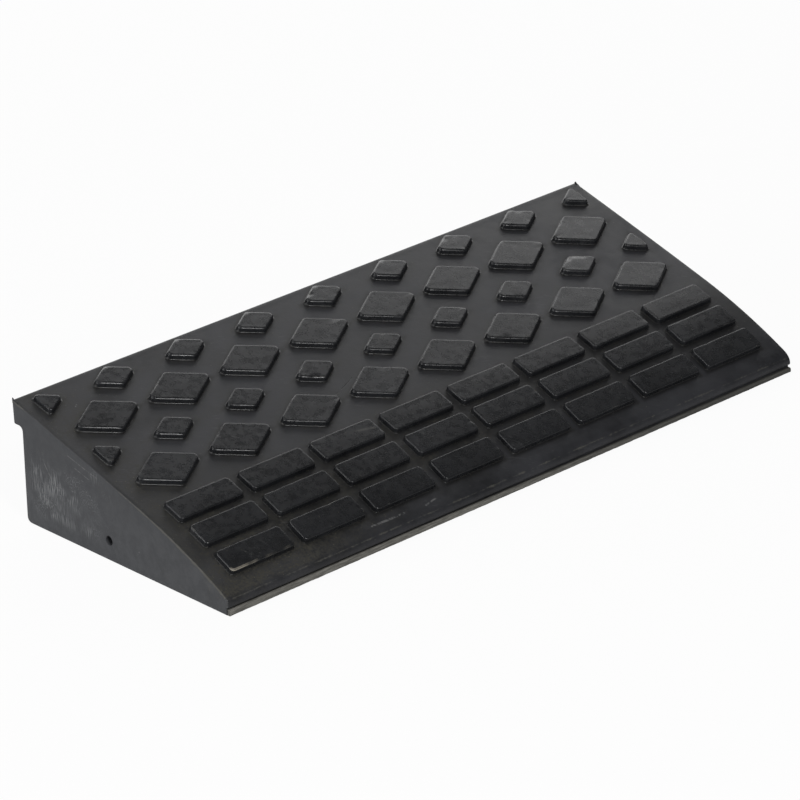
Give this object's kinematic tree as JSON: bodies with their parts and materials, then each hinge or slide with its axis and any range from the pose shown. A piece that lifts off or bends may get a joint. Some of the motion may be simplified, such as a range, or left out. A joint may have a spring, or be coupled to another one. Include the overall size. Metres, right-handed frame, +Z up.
{
  "type": "portable kerb ramp",
  "caption": "Moulded rubber kerb ramp: curved deck with raised diamond and bar tread, a nosing along the kerb edge, and a ribbed hollow underside.",
  "frame": {"origin": "on the ground, under the middle of the ramp's length and depth", "axes": "+X along the kerb, +Y from the toe towards the kerb, +Z up"},
  "size_m": [0.6, 0.249, 0.1031],
  "materials": {
    "moulded_rubber": "satin, charcoal, fine moulding grain, dusty",
    "tread_rubber": "satin to semi-gloss, near black, worn and scuffed on top",
    "trimmed_edge": "matt, rough, knife-trimmed"
  },
  "bodies": {
    "root": {"back_deck": "moulded_rubber", "cross_rib_1": "moulded_rubber", "cross_rib_2": "moulded_rubber", "cross_rib_3": "moulded_rubber", "cross_rib_4": "moulded_rubber", "cross_rib_5": "moulded_rubber", "front_deck": "moulded_rubber", "half_diamond_back_left": "tread_rubber", "half_diamond_back_right": "tread_rubber", "half_diamond_front_left": "tread_rubber", "half_diamond_front_right": "tread_rubber", "kerb_nosing": "moulded_rubber", "kerb_wall": "moulded_rubber", "large_diamond_back_1": "tread_rubber", "large_diamond_back_2": "tread_rubber", "large_diamond_back_3": "tread_rubber", "large_diamond_back_4": "tread_rubber", "large_diamond_back_5": "tread_rubber", "large_diamond_back_6": "tread_rubber", "large_diamond_back_7": "tread_rubber", "large_diamond_back_8": "tread_rubber", "large_diamond_front_1": "tread_rubber", "large_diamond_front_2": "tread_rubber", "large_diamond_front_3": "tread_rubber", "large_diamond_front_4": "tread_rubber", "large_diamond_front_5": "tread_rubber", "large_diamond_front_6": "tread_rubber", "large_diamond_front_7": "tread_rubber", "large_diamond_front_8": "tread_rubber", "left_end_wall": "moulded_rubber", "long_rib_bay_1": "moulded_rubber", "long_rib_bay_2": "moulded_rubber", "long_rib_bay_3": "moulded_rubber", "long_rib_bay_4": "moulded_rubber", "long_rib_bay_5": "moulded_rubber", "long_rib_bay_6": "moulded_rubber", "right_end_wall": "moulded_rubber", "small_diamond_back_1": "tread_rubber", "small_diamond_back_2": "tread_rubber", "small_diamond_back_3": "tread_rubber", "small_diamond_back_4": "tread_rubber", "small_diamond_back_5": "tread_rubber", "small_diamond_back_6": "tread_rubber", "small_diamond_back_7": "tread_rubber", "small_diamond_front_1": "tread_rubber", "small_diamond_front_2": "tread_rubber", "small_diamond_front_3": "tread_rubber", "small_diamond_front_4": "tread_rubber", "small_diamond_front_5": "tread_rubber", "small_diamond_front_6": "tread_rubber", "small_diamond_front_7": "tread_rubber", "toe_strip": "trimmed_edge", "tread_bars_back_row": "tread_rubber", "tread_bars_front_row": "tread_rubber", "tread_bars_middle_row": "tread_rubber"}
  },
  "joints": []
}
